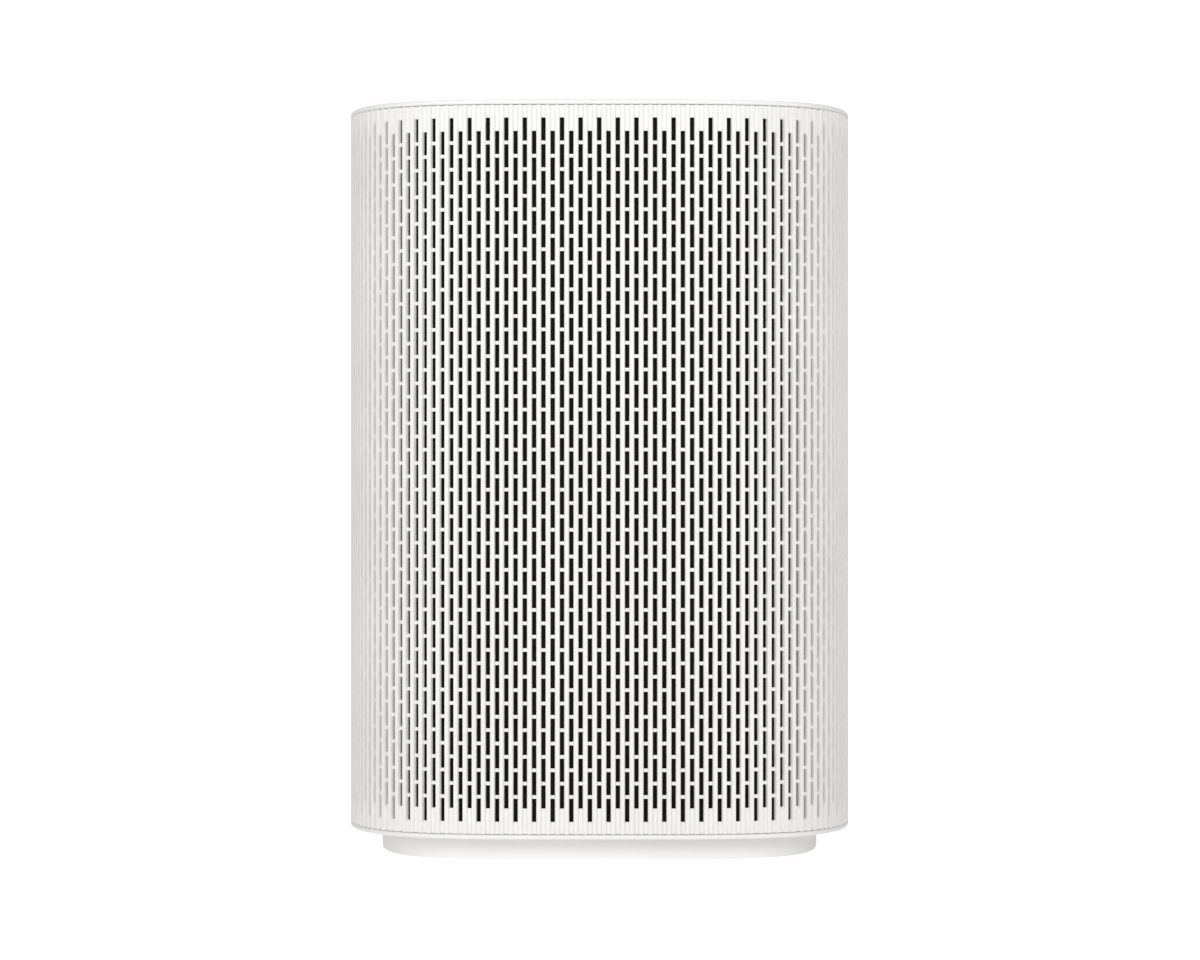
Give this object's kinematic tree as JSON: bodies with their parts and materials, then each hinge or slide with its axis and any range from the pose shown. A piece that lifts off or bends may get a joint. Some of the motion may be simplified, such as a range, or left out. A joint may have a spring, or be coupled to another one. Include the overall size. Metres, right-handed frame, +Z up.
{
  "type": "air purifier",
  "caption": "Compact tower air purifier with a ribbed, slotted intake wall all round, a round replaceable filter, a fan under the top outlet grille and two push buttons.",
  "frame": {"origin": "on the floor, under the middle of the body", "axes": "+Z up, the front faces -Y, +X to the right when seen from the front"},
  "size_m": [0.25, 0.25, 0.3646],
  "materials": {
    "white_abs": "fine satin moulded white",
    "black_abs": "fine matt moulded black",
    "dark_mesh": "fine woven nylon mesh",
    "rubber": "matt rubber",
    "foam": "closed-cell foam",
    "filter_paper": "pleated glass-fibre paper",
    "carbon": "granular carbon in a net",
    "circuit_board": "green solder mask",
    "light_guide": "frosted translucent",
    "steel": "turned or drawn steel",
    "brass": "plated brass",
    "copper": "enamelled copper wire",
    "aluminium": "die cast",
    "laminations": "stacked sheet steel"
  },
  "bodies": {
    "chassis": {"outer_shell": "white_abs", "top_cap": "white_abs", "base_tray": "white_abs", "base_foot": "white_abs", "outlet_grille": "white_abs", "control_panel": "white_abs", "light_ring": "light_guide", "prefilter_mesh": "dark_mesh", "foot_pad_1": "rubber", "foot_pad_2": "rubber", "foot_pad_3": "rubber", "foot_pad_4": "rubber", "foot_screw_1": "steel", "foot_screw_2": "steel", "foot_screw_3": "steel", "foot_screw_4": "steel", "deck_pillar_1": "black_abs", "deck_pillar_2": "black_abs", "deck_pillar_3": "black_abs", "deck_pillar_4": "black_abs", "door_seal": "foam", "deck_seal": "foam", "filter_bottom_cap": "black_abs", "filter_top_cap": "black_abs", "filter_media": "filter_paper", "carbon_sleeve": "carbon", "fan_deck": "black_abs", "fan_housing": "black_abs", "diffuser": "black_abs", "motor_mount": "aluminium", "stator_core": "laminations", "winding_upper": "copper", "winding_lower": "copper", "bearing_lower": "steel", "bearing_upper": "steel", "motor_screw_1": "steel", "motor_screw_2": "steel", "motor_screw_3": "steel", "driver_board": "circuit_board", "control_board": "circuit_board", "power_button_spring": "steel", "mode_button_spring": "steel", "power_inlet": "black_abs", "inlet_pin_1": "brass", "inlet_pin_2": "brass", "power_module": "black_abs", "air_sensor": "black_abs", "door_switch": "black_abs"},
    "fan_rotor": {"impeller": "black_abs", "impeller_nut": "brass", "motor_shaft": "steel", "rotor_cup": "steel", "rotor_magnet": "laminations"},
    "door": {"filter_door": "white_abs"},
    "plunger": {"switch_plunger": "brass"},
    "power_key": {"power_button": "white_abs"},
    "mode_key": {"mode_button": "white_abs"}
  },
  "joints": [
    {"name": "fan_spin", "type": "hinge", "parent": "chassis", "child": "fan_rotor", "pos_m": [0, 0, 0.27], "axis": [0, 0, 1], "continuous": true},
    {"name": "door_twist", "type": "hinge", "parent": "chassis", "child": "door", "pos_m": [0, 0, 0.01], "axis": [0, 0, 1], "range_deg": [0, 25]},
    {"name": "plunger_slide", "type": "slide", "parent": "chassis", "child": "plunger", "axis": [0, 0, -1], "range_m": [0, 0.0015]},
    {"name": "power_button_press", "type": "slide", "parent": "chassis", "child": "power_key", "axis": [0, 0, -1], "range_m": [0, 0.0008], "stiffness_N_per_m": 600, "springref_m": -0.001, "deforming": ["power_button_spring"]},
    {"name": "mode_button_press", "type": "slide", "parent": "chassis", "child": "mode_key", "axis": [0, 0, -1], "range_m": [0, 0.0008], "stiffness_N_per_m": 600, "springref_m": -0.001, "deforming": ["mode_button_spring"]}
  ],
  "couplings": [
    {"joint": "plunger_slide", "follows": "door_twist", "m_per_rad": 0.0034377}
  ]
}
